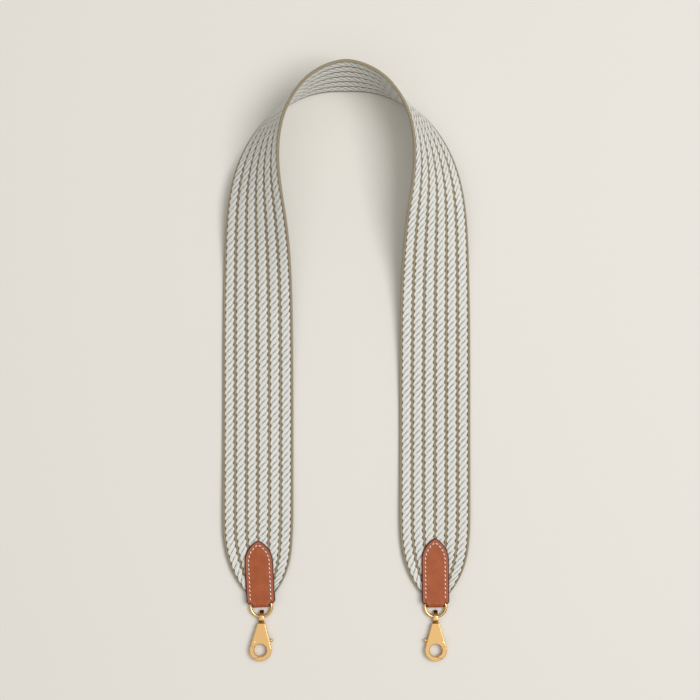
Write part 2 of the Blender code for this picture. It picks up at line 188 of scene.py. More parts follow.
def colour(code):
    parts = [int(code[i:i + 2], 16) / 255 for i in (1, 3, 5)]
    linear = [c / 12.92 if c <= 0.04045 else ((c + 0.055) / 1.055) ** 2.4 for c in parts]
    return (*linear, 1.0)


def addNode(tree, kind, values=None, links=None, **settings):
    made = tree.nodes.new(kind)
    for key, value in settings.items():
        setattr(made, key, value)
    for key, value in (values or {}).items():
        made.inputs[key].default_value = value
    for key, source in (links or {}).items():
        tree.links.new(source, made.inputs[key])
    return made


def newMaterial(name, values):
    material = bpy.data.materials.new(name)
    material.use_nodes = True
    tree = material.node_tree
    shader = tree.nodes["Principled BSDF"]
    for key, value in values.items():
        shader.inputs[key].default_value = value
    return material, tree, shader


cordCotton = {
    # the groove, flank and hole colours are painted light: shade where strands meet, a warm highlight on the side,
    # shade where a strand dives under
    "white": "#FCFAF3", "shade": "#C0C3C1", "grooveShade": "#62645F", "flankHighlight": "#FFF8EC", "hole": "#40392A",
    "yarns": 3, "yarnLean": 25.0, "ribHeight": 0.18, "ribShare": 0.7, "fuzz": 0.4, "fuzzWide": 1.4,
}


def makeCordCotton():
    # mercerised cotton, laid: bright, soft, with yarn ribs along each strand painted darker between the yarns, painted
    # shade in the lines where two strands meet and where a strand dives under, and a painted warm highlight where a
    # strand turns over the side
    m = cordCotton
    material, tree, shader = newMaterial("mercerised cotton cord", {
        "Roughness": 0.75, "Specular IOR Level": 0.3, "Sheen Weight": 0.2, "Sheen Roughness": 0.4,
    })
    place = addNode(tree, "ShaderNodeUVMap", uv_map="lay")
    split = addNode(tree, "ShaderNodeSeparateXYZ", links={"Vector": place.outputs[0]})
    lean = addNode(tree, "ShaderNodeMath", {1: m["yarnLean"]}, {0: split.outputs["Y"]}, operation="MULTIPLY")
    turn = addNode(tree, "ShaderNodeMath", {1: m["yarns"]}, {0: split.outputs["X"], 2: lean.outputs[0]},
                   operation="MULTIPLY_ADD")
    phase = addNode(tree, "ShaderNodeMath", {1: 2 * math.pi}, {0: turn.outputs[0]}, operation="MULTIPLY")
    rib = addNode(tree, "ShaderNodeMath", links={0: phase.outputs[0]}, operation="SINE")
    height = addNode(tree, "ShaderNodeMath", {1: 0.5, 2: 0.5}, {0: rib.outputs[0]}, operation="MULTIPLY_ADD")
    spots = addNode(tree, "ShaderNodeTexCoord")
    fuzz = addNode(tree, "ShaderNodeTexNoise", {"Scale": 1 / (m["fuzzWide"] * mm), "Detail": 3.0},
                   {"Vector": spots.outputs["Object"]})
    tone = addNode(tree, "ShaderNodeMath", {1: m["ribShare"]}, {0: height.outputs[0]}, operation="MULTIPLY_ADD")
    fuzzShare = addNode(tree, "ShaderNodeMath", {1: m["fuzz"]}, {0: fuzz.outputs["Fac"]}, operation="MULTIPLY")
    tree.links.new(fuzzShare.outputs[0], tone.inputs[2])
    yarn = addNode(tree, "ShaderNodeMix", {6: colour(m["shade"]), 7: colour(m["white"])},
                   {0: tone.outputs[0]}, data_type="RGBA")
    seamShade = addNode(tree, "ShaderNodeAttribute", attribute_name="seamShade")  # painted shade where two strands meet on the flat
    flankHighlightShare = addNode(tree, "ShaderNodeAttribute", attribute_name="flankHighlight")  # painted warm highlight where a strand turns over the side
    warm = addNode(tree, "ShaderNodeMix", {7: colour(m["flankHighlight"])},
                   {0: flankHighlightShare.outputs["Fac"], 6: yarn.outputs[2]}, data_type="RGBA")
    mix = addNode(tree, "ShaderNodeMix", {7: colour(m["grooveShade"])},
                  {0: seamShade.outputs["Fac"], 6: warm.outputs[2]}, data_type="RGBA")
    dive = addNode(tree, "ShaderNodeAttribute", attribute_name="dive")  # painted shade in the hollow where a strand goes under
    mix = addNode(tree, "ShaderNodeMix", {7: colour(m["hole"])},
                  {0: dive.outputs["Fac"], 6: mix.outputs[2]}, data_type="RGBA")
    bump = addNode(tree, "ShaderNodeBump", {"Strength": 0.8, "Distance": m["ribHeight"] * mm},
                   {"Height": height.outputs[0]})
    tree.links.new(mix.outputs[2], shader.inputs["Base Color"])
    tree.links.new(bump.outputs[0], shader.inputs["Normal"])
    return material


tapeWeave = {
    "light": "#C2B59A", "dark": "#726650", "warm": "#AEA087", "shade": "#51462F",
    "pick": 0.8, "end": 0.7, "depth": 0.12, "twill": 1.5, "blotch": 2.2,  # mm
    "twillLean": 1.0, "stagger": 1.2, "weaveShare": 0.07, "twillShare": 0.4,
}


def makeTapeWeave():
    # polyester tape, woven: dull taupe with small raised picks and a slanting rib, drawn coarse so that they show, with
    # painted shade beside each cord
    m = tapeWeave
    material, tree, shader = newMaterial("woven polyester tape", {
        "Roughness": 0.85, "Specular IOR Level": 0.25, "Sheen Weight": 0.15, "Sheen Roughness": 0.5,
    })
    place = addNode(tree, "ShaderNodeUVMap", uv_map="lay")
    split = addNode(tree, "ShaderNodeSeparateXYZ", links={"Vector": place.outputs[0]})
    across = addNode(tree, "ShaderNodeMath", {1: 2 * math.pi / (m["end"] * mm)}, {0: split.outputs["X"]},
                     operation="MULTIPLY")
    half = addNode(tree, "ShaderNodeMath", {1: 0.5}, {0: across.outputs[0]}, operation="MULTIPLY")
    stagger = addNode(tree, "ShaderNodeMath", links={0: half.outputs[0]}, operation="SINE")
    step = addNode(tree, "ShaderNodeMath", {1: m["stagger"]}, {0: stagger.outputs[0]}, operation="MULTIPLY")
    along = addNode(tree, "ShaderNodeMath", {1: 2 * math.pi / (m["pick"] * mm)},
                    {0: split.outputs["Y"], 2: step.outputs[0]}, operation="MULTIPLY_ADD")
    waveA = addNode(tree, "ShaderNodeMath", links={0: across.outputs[0]}, operation="SINE")
    waveB = addNode(tree, "ShaderNodeMath", links={0: along.outputs[0]}, operation="SINE")
    both = addNode(tree, "ShaderNodeMath", links={0: waveA.outputs[0], 1: waveB.outputs[0]}, operation="ADD")
    weave = addNode(tree, "ShaderNodeMath", {1: m["weaveShare"], 2: 0.5}, {0: both.outputs[0]},
                    operation="MULTIPLY_ADD")
    slant = addNode(tree, "ShaderNodeMath", {1: m["twillLean"]}, {0: split.outputs["X"], 2: split.outputs["Y"]},
                    operation="MULTIPLY_ADD")
    twillTurn = addNode(tree, "ShaderNodeMath", {1: 2 * math.pi / (m["twill"] * mm)}, {0: slant.outputs[0]},
                        operation="MULTIPLY")
    twill = addNode(tree, "ShaderNodeMath", links={0: twillTurn.outputs[0]}, operation="SINE")
    height = addNode(tree, "ShaderNodeMath", {1: m["twillShare"]}, {0: twill.outputs[0], 2: weave.outputs[0]},
                     operation="MULTIPLY_ADD")
    spots = addNode(tree, "ShaderNodeTexCoord")
    blotch = addNode(tree, "ShaderNodeTexNoise", {"Scale": 1 / (m["blotch"] * mm), "Detail": 2.0},
                     {"Vector": spots.outputs["Object"]})
    warm = addNode(tree, "ShaderNodeMix", {6: colour(m["light"]), 7: colour(m["warm"])},
                   {0: blotch.outputs["Fac"]}, data_type="RGBA")
    mix = addNode(tree, "ShaderNodeMix", {6: colour(m["dark"])},
                  {0: height.outputs[0], 7: warm.outputs[2]}, data_type="RGBA")
    beside = addNode(tree, "ShaderNodeAttribute", attribute_name="beside")  # painted shade on the tape beside each cord
    besideShade = addNode(tree, "ShaderNodeMix", {7: colour(m["shade"])},
                    {0: beside.outputs["Fac"], 6: mix.outputs[2]}, data_type="RGBA")
    bump = addNode(tree, "ShaderNodeBump", {"Strength": 0.7, "Distance": m["depth"] * mm},
                   {"Height": height.outputs[0]})
    tree.links.new(besideShade.outputs[2], shader.inputs["Base Color"])
    tree.links.new(bump.outputs[0], shader.inputs["Normal"])
    return material


tanHide = {
    "hide": "#AF5A2A", "deep": "#9A481C", "rim": "#A95934", "crease": "#6F3118", "edge": "#4A2013",
    "grain": 0.55, "cloud": 7.0, "depth": 0.05,  # mm
    "pebbleShare": 0.8, "toneFrom": 0.45, "toneTo": 1.15,
    # how far in from the outline, in mm
    "rimFrom": 2.9, "rimTo": 2.5, "creasePlace": 2.75, "creaseWide": 0.55, "edgeWide": 0.72, "edgeSoft": (0.25, 0.15),
    "creaseShare": 0.6, "creaseSink": 4.0,
}


def makeTanHide():
    # vegetable-tanned calf, embossed with a fine grain: satin, creased along the stitches, darker at the cut edge
    m = tanHide
    material, tree, shader = newMaterial("grained calf leather", {
        "Roughness": 0.5, "Specular IOR Level": 0.35, "Coat Weight": 0.05, "Coat Roughness": 0.4,
    })
    spots = addNode(tree, "ShaderNodeTexCoord")
    pebbles = addNode(tree, "ShaderNodeTexVoronoi", {"Scale": 1 / (m["grain"] * mm)},
                      {"Vector": spots.outputs["Object"]}, feature="SMOOTH_F1")
    cloud = addNode(tree, "ShaderNodeTexNoise", {"Scale": 1 / (m["cloud"] * mm), "Detail": 3.0},
                    {"Vector": spots.outputs["Object"]})
    tone = addNode(tree, "ShaderNodeMath", {1: m["pebbleShare"]},
                   {0: pebbles.outputs["Distance"], 2: cloud.outputs["Fac"]}, operation="MULTIPLY_ADD")
    ramp = addNode(tree, "ShaderNodeMapRange", {"From Min": m["toneFrom"], "From Max": m["toneTo"]},
                   {"Value": tone.outputs[0]})
    field = addNode(tree, "ShaderNodeMix", {6: colour(m["hide"]), 7: colour(m["deep"])},
                    {0: ramp.outputs[0]}, data_type="RGBA")
    inset = addNode(tree, "ShaderNodeAttribute", attribute_name="inset")  # mm from the outline, small at the bend for painted shade
    outside = addNode(tree, "ShaderNodeMapRange", {"From Min": m["rimFrom"], "From Max": m["rimTo"]},
                      {"Value": inset.outputs["Fac"]})
    rim = addNode(tree, "ShaderNodeMix", {7: colour(m["rim"])},
                  {0: outside.outputs[0], 6: field.outputs[2]}, data_type="RGBA")
    side = addNode(tree, "ShaderNodeAttribute", attribute_name="side")  # the same, from the two long sides only
    away = addNode(tree, "ShaderNodeMath", {1: -m["creasePlace"]}, {0: side.outputs["Fac"]}, operation="ADD")
    size = addNode(tree, "ShaderNodeMath", links={0: away.outputs[0]}, operation="ABSOLUTE")
    crease = addNode(tree, "ShaderNodeMapRange", {"From Min": m["creaseWide"], "From Max": 0.1},
                     {"Value": size.outputs[0]}, interpolation_type="SMOOTHSTEP")
    creaseShare = addNode(tree, "ShaderNodeMath", {1: m["creaseShare"]}, {0: crease.outputs[0]}, operation="MULTIPLY")
    creased = addNode(tree, "ShaderNodeMix", {7: colour(m["crease"])},
                      {0: creaseShare.outputs[0], 6: rim.outputs[2]}, data_type="RGBA")
    inner, outer = m["edgeSoft"]
    edge = addNode(tree, "ShaderNodeMapRange", {"From Min": m["edgeWide"] + inner, "From Max": m["edgeWide"] - outer},
                   {"Value": inset.outputs["Fac"]}, interpolation_type="SMOOTHSTEP")
    mix = addNode(tree, "ShaderNodeMix", {7: colour(m["edge"])},
                  {0: edge.outputs[0], 6: creased.outputs[2]}, data_type="RGBA")
    sink = addNode(tree, "ShaderNodeMath", {1: -m["creaseSink"]},
                   {0: crease.outputs[0], 2: pebbles.outputs["Distance"]}, operation="MULTIPLY_ADD")
    bump = addNode(tree, "ShaderNodeBump", {"Strength": 0.6, "Distance": m["depth"] * mm},
                   {"Height": sink.outputs[0]})
    tree.links.new(mix.outputs[2], shader.inputs["Base Color"])
    tree.links.new(bump.outputs[0], shader.inputs["Normal"])
    return material


edgeCoat = {"colour": "#4A1C0E", "roughness": 0.55, "runs": 1.1, "depth": 0.05}


def makeEdgePaint():
    # leather edge paint, brushed on in coats: dark and rounded
    m = edgeCoat
    material, tree, shader = newMaterial("painted leather edge", {
        "Base Color": colour(m["colour"]), "Roughness": m["roughness"], "Specular IOR Level": 0.25,
    })
    spots = addNode(tree, "ShaderNodeTexCoord")
    runs = addNode(tree, "ShaderNodeTexNoise", {"Scale": 1 / (m["runs"] * mm), "Detail": 2.0},
                   {"Vector": spots.outputs["Object"]})
    bump = addNode(tree, "ShaderNodeBump", {"Strength": 0.3, "Distance": m["depth"] * mm},
                   {"Height": runs.outputs["Fac"]})
    tree.links.new(bump.outputs[0], shader.inputs["Normal"])
    return material


linenThread = {"colour": "#FCF7EE", "roughness": 0.55, "ply": 0.5, "wavesInUnit": 3.2, "depth": 0.04}


def makeWaxedThread():
    # waxed linen thread: off-white, with the twist of its plies
    m = linenThread
    material, tree, shader = newMaterial("waxed linen thread", {
        "Base Color": colour(m["colour"]), "Roughness": m["roughness"], "Specular IOR Level": 0.4,
    })
    spots = addNode(tree, "ShaderNodeTexCoord")
    plies = addNode(tree, "ShaderNodeTexWave", {"Scale": 1 / (m["ply"] * mm) / m["wavesInUnit"], "Distortion": 1.0},
                    {"Vector": spots.outputs["Object"]}, bands_direction="DIAGONAL")
    bump = addNode(tree, "ShaderNodeBump", {"Strength": 0.5, "Distance": m["depth"] * mm},
                   {"Height": plies.outputs["Fac"]})
    tree.links.new(bump.outputs[0], shader.inputs["Normal"])
    return material


goldPlate = {"colour": "#EBC082", "waves": 3.0, "depth": 0.1, "fine": 0.4, "roughLeast": 0.13, "roughMost": 0.22}


def makeGoldPlate():
    # zinc casting, polished and gold plated: warm mirror with faint polishing waves
    m = goldPlate
    material, tree, shader = newMaterial("polished gold plate", {"Base Color": colour(m["colour"]), "Metallic": 1.0})
    spots = addNode(tree, "ShaderNodeTexCoord")
    waves = addNode(tree, "ShaderNodeTexNoise", {"Scale": 1 / (m["waves"] * mm), "Detail": 1.0},
                    {"Vector": spots.outputs["Object"]})
    fine = addNode(tree, "ShaderNodeTexNoise", {"Scale": 1 / (m["fine"] * mm), "Detail": 2.0},
                   {"Vector": spots.outputs["Object"]})
    rough = addNode(tree, "ShaderNodeMapRange", {
        "From Min": 0.3, "From Max": 0.7, "To Min": m["roughLeast"], "To Max": m["roughMost"],
    }, {"Value": fine.outputs["Fac"]})
    bump = addNode(tree, "ShaderNodeBump", {"Strength": 0.08, "Distance": m["depth"] * mm},
                   {"Height": waves.outputs["Fac"]})
    tree.links.new(rough.outputs[0], shader.inputs["Roughness"])
    tree.links.new(bump.outputs[0], shader.inputs["Normal"])
    return material


shadedPlate = {"colour": "#8E5C17", "roughness": 0.45, "grit": 0.2, "depth": 0.02}


def makeShadedGold():
    # the same plate, painted brown and dull as painted shade in the recessed neck
    m = shadedPlate
    material, tree, shader = newMaterial("gold plate darkened for shade", {
        "Base Color": colour(m["colour"]), "Metallic": 1.0, "Roughness": m["roughness"],
    })
    spots = addNode(tree, "ShaderNodeTexCoord")
    grit = addNode(tree, "ShaderNodeTexNoise", {"Scale": 1 / (m["grit"] * mm), "Detail": 2.0},
                   {"Vector": spots.outputs["Object"]})
    bump = addNode(tree, "ShaderNodeBump", {"Strength": 0.3, "Distance": m["depth"] * mm},
                   {"Height": grit.outputs["Fac"]})
    tree.links.new(bump.outputs[0], shader.inputs["Normal"])
    return material


drawnWire = {"colour": "#B9BABC", "lines": 0.15, "roughLeast": 0.22, "roughMost": 0.42}


def makeSpringWire():
    # hard-drawn steel wire: grey, with drawing lines
    m = drawnWire
    material, tree, shader = newMaterial("drawn spring wire", {"Base Color": colour(m["colour"]), "Metallic": 1.0})
    spots = addNode(tree, "ShaderNodeTexCoord")
    lines = addNode(tree, "ShaderNodeTexNoise", {"Scale": 1 / (m["lines"] * mm), "Detail": 1.0},
                    {"Vector": spots.outputs["Object"]})
    rough = addNode(tree, "ShaderNodeMapRange", {"To Min": m["roughLeast"], "To Max": m["roughMost"]},
                    {"Value": lines.outputs["Fac"]})
    tree.links.new(rough.outputs[0], shader.inputs["Roughness"])
    return material


cotton = makeCordCotton()
tape = makeTapeWeave()
hide = makeTanHide()
edgePaint = makeEdgePaint()
thread = makeWaxedThread()
gold = makeGoldPlate()
shadedGold = makeShadedGold()
steelWire = makeSpringWire()
print("materials ready")


# how the webbing lies, in mm from the middle of the arch

lay = {
    "archY": 200.385, "width": 50.0, "thick": 2.6, "halfLength": 402.0,
    "turnLength": 132.3,  # from the middle of the arch to where a leg runs straight down
    "leanLength": 357.0, "leanAngle": 105.94, "leanPowers": (1.472, 4.583),  # from standing on edge to lying flat
    "lift": 8.0, "liftStart": 28.7, "liftEnd": 185.0,  # where it comes off the floor as it turns over
    "skew": -4.4, "skewLength": 60.0,  # how far the weave slants round the arch
    "riseStart": 260.0, "tabRun": 358.5, "axisHeight": 3.0,  # up to the height of the tabs
    "taperStart": 330.0, "taperLength": 77.0, "taperPower": 3.74, "taperLeast": 0.30,  # gathered into the tabs
    "crowdLeast": (0.6, 1.9, 0.0),  # how near the gathered cords come to the middle, the inner pair first
    "endTilt": {"left": 2.8, "right": 0.5},
}
ropePlaces = [-20.0, -12.0, -4.0, 4.0, 12.0, 20.0]


# one half of the webbing's middle line, and which way it faces: distances, places, across and up
def layRoute():
    step = 0.25
    run = np.arange(0, lay["halfLength"] + 2 * step, step)
    heading = math.pi / 2 * np.sin(math.pi / 2 * np.clip(run / lay["turnLength"], 0, 1))
    early, late = lay["leanPowers"]
    lean = math.radians(lay["leanAngle"]) * (1 - np.clip(run / lay["leanLength"], 0, 1) ** early) ** late
    height = lay["width"] / 2 * np.sin(lean) + lay["thick"] / 2 * np.abs(np.cos(lean))
    liftShare = np.clip((run - lay["liftStart"]) / (lay["liftEnd"] - lay["liftStart"]), 0, 1)
    height += lay["lift"] * np.sin(math.pi * liftShare) ** 2
    rise = np.clip((run - lay["riseStart"]) / (lay["tabRun"] - lay["riseStart"]), 0, 1)
    height += (lay["axisHeight"] - lay["thick"] / 2) * rise ** 2 * (3 - 2 * rise)
    climb = np.arcsin(np.gradient(height, step))
    level = np.cos(climb)
    along = np.stack([level * np.cos(heading), -level * np.sin(heading), np.sin(climb)], 1)
    steps = (along[1:, :2] + along[:-1, :2]) / 2 * step
    centre = np.column_stack([np.concatenate([np.zeros((1, 2)), np.cumsum(steps, 0)]), height])
    inward = np.stack([-np.sin(heading), -np.cos(heading), np.zeros_like(run)], 1)
    across = np.cos(lean)[:, None] * inward
    across[:, 2] = np.sin(lean)
    across -= (across * along).sum(1)[:, None] * along
    skew = math.radians(lay["skew"]) * np.sin(math.pi * np.clip(run / lay["skewLength"], 0, 1))
    across += np.tan(skew)[:, None] * along
    across /= np.linalg.norm(across, axis=1)[:, None]
    up = np.cross(across, along)
    up /= np.linalg.norm(up, axis=1)[:, None]
    return run, centre, across, up


routeRun, routeCentre, routeAcross, routeUp = layRoute()


# how much of its width the webbing keeps
def squeeze(run):
    past = np.maximum(0, np.abs(run) - lay["taperStart"]) / lay["taperLength"]
    return np.maximum(lay["taperLeast"], 1 - past ** lay["taperPower"])


# where a line along the webbing goes as the webbing narrows: the cords keep more of their width than the whole
def crowd(place, run):
    keep = squeeze(run)
    half, rightPlaces = lay["width"] / 2, ropePlaces[3:]
    knots = [0, *rightPlaces, half]
    values = [0 * keep]
    for ropePlace, least in zip(rightPlaces, lay["crowdLeast"]):
        values.append(np.maximum(half * keep - (half - ropePlace) * np.sqrt(keep), least * keep))
    values.append(half * keep)
    size = np.abs(place)
    result = np.zeros_like(keep)
    for (k0, k1), (v0, v1) in zip(zip(knots, knots[1:]), zip(values, values[1:])):
        share = np.clip((size - k0) / (k1 - k0), 0, 1)
        result += share * (v1 - v0)
    return np.sign(place) * result


# from the straight webbing, in mm, to its place on the strap, in metres
def ontoRoute(across, run, up):
    half = np.abs(run)
    side = np.where(run < 0, -1.0, 1.0)
    tilt = np.where(run < 0, math.tan(math.radians(lay["endTilt"]["left"])),
                    math.tan(math.radians(lay["endTilt"]["right"])))
    spots = np.stack([np.interp(half, routeRun, routeCentre[:, i]) for i in range(3)], 1)
    spots += across[:, None] * np.stack([np.interp(half, routeRun, routeAcross[:, i]) for i in range(3)], 1)
    spots += up[:, None] * np.stack([np.interp(half, routeRun, routeUp[:, i]) for i in range(3)], 1)
    spots[:, 0] *= side
    spots[:, 0] += tilt * np.maximum(0, half - lay["tabRun"])
    spots[:, 1] += lay["archY"]
    return spots * mm


# faces of a closed tube of so many rings, with one face as the cap at each end
def tubeFaces(rings, sides):
    base = np.arange(rings - 1)[:, None] * sides
    here = np.arange(sides)[None, :]
    after = (here + 1) % sides
    quads = np.stack([base + here, base + after, base + sides + after, base + sides + here], -1).reshape(-1, 4)
    faces = quads.tolist()
    faces.append(list(range(sides))[::-1])
    faces.append([(rings - 1) * sides + i for i in range(sides)])
    return faces


rope = {
    "strands": 4, "lead": 19.6, "wide": 6.95, "thick": 2.6, "stations": 28, "columns": 10, "end": 398.0,
    "valley": (0.55, 1.7), "bulge": (4.0, 1.6),  # where strands meet, how deep and how blunt: on the flat, at the sides
    "squareness": (0.85, 0.65), "seamSharpness": 7.0, "diveSharpness": 4.0,
    "stagger": [0, 0.18, 0.38, 0.55, 0.75, 0.90],
}


# a bundle of laid strands pressed flat: its columns of points follow the strands round the cord
def addRope(number):
    count = int(2 * rope["end"] / rope["lead"] * rope["stations"])
    run = np.linspace(-rope["end"], rope["end"], count + 1)
    sides = rope["strands"] * rope["columns"]
    root = np.sqrt(squeeze(run))
    middle = crowd(ropePlaces[number - 1], run)
    start = rope["stagger"][number - 1] / rope["strands"]  # the ropes aren't in step with each other
    points, uv, seamShades, flankHighlights, diveShades = [], [], [], [], []
    for k in range(sides):
        angle = 2 * math.pi * (k / sides + start - run / rope["lead"])
        edgeShare = np.cos(angle) ** 2
        near = abs(2 * (k % rope["columns"]) / rope["columns"] - 1)  # 1 where two strands meet
        bulge = rope["bulge"][0] + (rope["bulge"][1] - rope["bulge"][0]) * edgeShare
        dip = near ** bulge
        out, lift = (np.sign(share) * np.abs(share) ** power
                     for share, power in zip((np.cos(angle), np.sin(angle)), rope["squareness"]))
        across = (rope["wide"] / 2 - rope["valley"][1] * dip) * out
        up = (rope["thick"] / 2 - rope["valley"][0] * dip) * lift
        points.append(ontoRoute(middle + across * root, run, up))
        uv.append(np.stack([np.full_like(run, k / rope["columns"]), run * mm], 1))
        # painted shade where two strands meet and where a strand dives under, and a painted warm highlight where a
        # strand turns over the side
        seamShades.append(near ** rope["seamSharpness"] * (1 - edgeShare))
        flankHighlights.append(edgeShare ** 2 * (1 - near))
        diveShades.append(edgeShare ** 2 * near ** rope["diveSharpness"])
    piece = meshPiece(f"laid_cord_{number}", np.stack(points, 1).reshape(-1, 3), tubeFaces(len(run), sides),
                      np.stack(uv, 1).reshape(-1, 2))
    for name, values in (("seamShade", seamShades), ("flankHighlight", flankHighlights), ("dive", diveShades)):
        addShare(piece, name, np.stack(values, 1))
    facesOut(piece)
    piece.data.materials.append(cotton)
    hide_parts(f"cord_{number}")
    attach(piece, "strap")
    return piece


tapeShape = {
    "grooveHalf": 0.65, "underHalf": 0.4, "selvedgeHalf": 1.15, "step": 1.6, "shadeFrom": 3.05, "shadeTo": 3.5,
    "under": 2.2, "beside": 3.0,  # from the middle of a cord: thin as far as this, thick from here
    "crown": [(3.5, 0.02), (4.0, 0.03), (4.5, 0.02), (5.0, 0.0)], "crownEnd": 5.8,  # the rise between two cords
}


# a tape that is thin under the cords, thicker between them and rounded at its two selvedges
def addTape():
    t = tapeShape
    # half of its section from the right edge to the middle: how far out, and half its thickness there
    marks = [(25.0, 0.0), (24.93, 0.35), (24.7, 0.65), (24.3, t["selvedgeHalf"] * 0.95), (23.8, t["selvedgeHalf"]),
             (23.45, t["grooveHalf"] + 0.1), (23.0, t["grooveHalf"]), (22.2, t["underHalf"])]
    innermost = ropePlaces[3]
    for centre in reversed(ropePlaces[3:]):
        marks += [(centre, t["underHalf"]), (centre - t["under"], t["underHalf"]),
                  (centre - t["beside"], t["grooveHalf"])]
        if centre > innermost:
            marks += [(centre - out, t["grooveHalf"] + rise) for out, rise in t["crown"]]
            marks.append((centre - t["crownEnd"], t["underHalf"]))
    marks += [(0.5, t["grooveHalf"] + 0.02), (0.0, t["grooveHalf"] + 0.03)]
    top = marks + [(-x, z) for x, z in reversed(marks[:-1])]
    loop = top + [(x, -z) for x, z in reversed(top[1:-1])]
    across = np.array([x for x, z in loop])
    count = int(2 * lay["halfLength"] / t["step"])
    run = np.linspace(-lay["halfLength"], lay["halfLength"], count + 1)
    rows = [ontoRoute(crowd(np.full_like(run, x), run), run, np.full_like(run, z)) for x, z in loop]
    points = np.stack(rows, 1).reshape(-1, 3)
    uv = np.stack([np.stack([np.full_like(run, across[k] * mm), run * mm], 1) for k in range(len(loop))], 1)
    piece = meshPiece("webbing_tape", points, tubeFaces(len(run), len(loop)), uv.reshape(-1, 2))
    # painted shade on the tape beside each cord
    fromCord = np.abs(across[:, None] - np.array(ropePlaces)[None, :]).min(1)
    beside = np.clip((t["shadeTo"] - fromCord) / (t["shadeTo"] - t["shadeFrom"]), 0, 1)
    addShare(piece, "beside", np.tile(beside, len(run)))
    facesOut(piece)
    piece.data.materials.append(tape)
    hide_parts("webbing_ground")
    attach(piece, "strap")
    return piece


webbing = addTape()
ropes = [addRope(number) for number in range(1, 7)]
print("webbing ready")


# places of the two ends

# a joint's place as a matrix: X across the strap, Y towards the arch, Z up
def frameAt(jointName, turnAxis="X"):
    joint = joints[jointName]
    axis = Vector(joint["axis"]).normalized()
    xAxis = axis if turnAxis == "X" else axis.cross(Vector((0, 0, 1))) * -1
    xAxis = Vector((xAxis.x, xAxis.y, 0)).normalized()
    yAxis = Vector((0, 0, 1)).cross(xAxis)
    flankHighlightShare = Matrix((xAxis, yAxis, Vector((0, 0, 1)))).transposed().to_4x4()
    return Matrix.Translation(Vector(joint["pos_m"])) @ flankHighlightShare


# leather tabs

tab = {
    "tip": {"left": 44.4, "right": 46.0}, "width": {"left": 20.0, "right": 19.2}, "shoulder": 15.5,
    "sideSteps": 20, "tipSteps": 25,
    # out and along from the middle of the bend: the neck, and the notch that the ring's arms swing in
    "corner": [(6.0, 0.0), (6.05, 2.4), (6.8, 3.45), (7.9, 3.45), (8.4, 3.15)], "cornerEnd": 4.8,
    "thick": 1.4, "foldMiddle": 2.3, "edgeRound": 0.5, "shadedBend": 2.0,
    "columns": 13, "gridX": 0.7, "gridY": 1.6, "gridBend": 0.45, "bendPast": 0.9, "leafFrom": 1.5,
    "stitchInset": 2.75, "stitchPitch": 3.0, "stitchLong": 2.15, "stitchWide": 0.6, "stitchLean": 12.0,
    "stitchHigh": 0.26, "stitchDive": 0.10, "stitchLift": 0.05, "lastStitch": 42.6,
}
tabHalf = {side: tab["width"][side] / 2 for side in sides}
tabRadius = {side: (tab["shoulder"] ** 2 + tabHalf[side] ** 2) / tab["width"][side] for side in sides}  # of the point
tabBend = math.pi / 2 * tab["foldMiddle"]


# one quarter of the outline: how far out, and how far along from the middle of the bend to the tip
def tabQuarter(side):
    half, radius, tip = tabHalf[side], tabRadius[side], tab["tip"][side] + tabBend
    spots = [*tab["corner"], (half, tab["cornerEnd"])]
    straight = np.linspace(tab["cornerEnd"], tip - tab["shoulder"], tab["sideSteps"])[1:]
    spots += [(half, t) for t in straight]
    sweep = math.asin(tab["shoulder"] / radius)
    for angle in np.linspace(0, sweep, tab["tipSteps"])[1:]:
        spots.append((half - radius + radius * math.cos(angle), tip - tab["shoulder"] + radius * math.sin(angle)))
    return spots[:-1] + [(0.0, tip)]


# how far a place is from a chain of straight lines
def fromChain(spots, x, t):
    lengths = []
    for (x0, t0), (x1, t1) in zip(spots, spots[1:]):
        dx, dt = x1 - x0, t1 - t0
        share = min(1.0, max(0.0, ((x - x0) * dx + (t - t0) * dt) / (dx * dx + dt * dt)))
        lengths.append(math.hypot(x - x0 - share * dx, t - t0 - share * dt))
    return min(lengths)


# how far a place on the flat leather is from its outline, and from its long sides, in mm
def tabInset(side, x, t):
    x, t = abs(x), abs(t)
    half, radius, tip = tabHalf[side], tabRadius[side], tab["tip"][side] + tabBend
    short = max(0.0, t - tip + tab["shoulder"])
    inset = radius - math.hypot(x + radius - half, short)
    corner = fromChain([*tab["corner"], (half, tab["cornerEnd"])], x, t)
    bend = t / 2 if t < tab["shadedBend"] else inset  # painted shade: the bend takes the dark edge colour too
    return min(inset, corner, bend), inset


# from the flat leather to the fold: t runs from the middle of the bend, up the top leaf where it is positive
def foldedSpot(x, t, lift):
    radius = tab["foldMiddle"]
    if abs(t) < tabBend:
        angle = t / radius
        return (x, -math.cos(angle) * (radius + lift), math.sin(angle) * (radius + lift))
    return (x, abs(t) - tabBend, math.copysign(radius + lift, t))


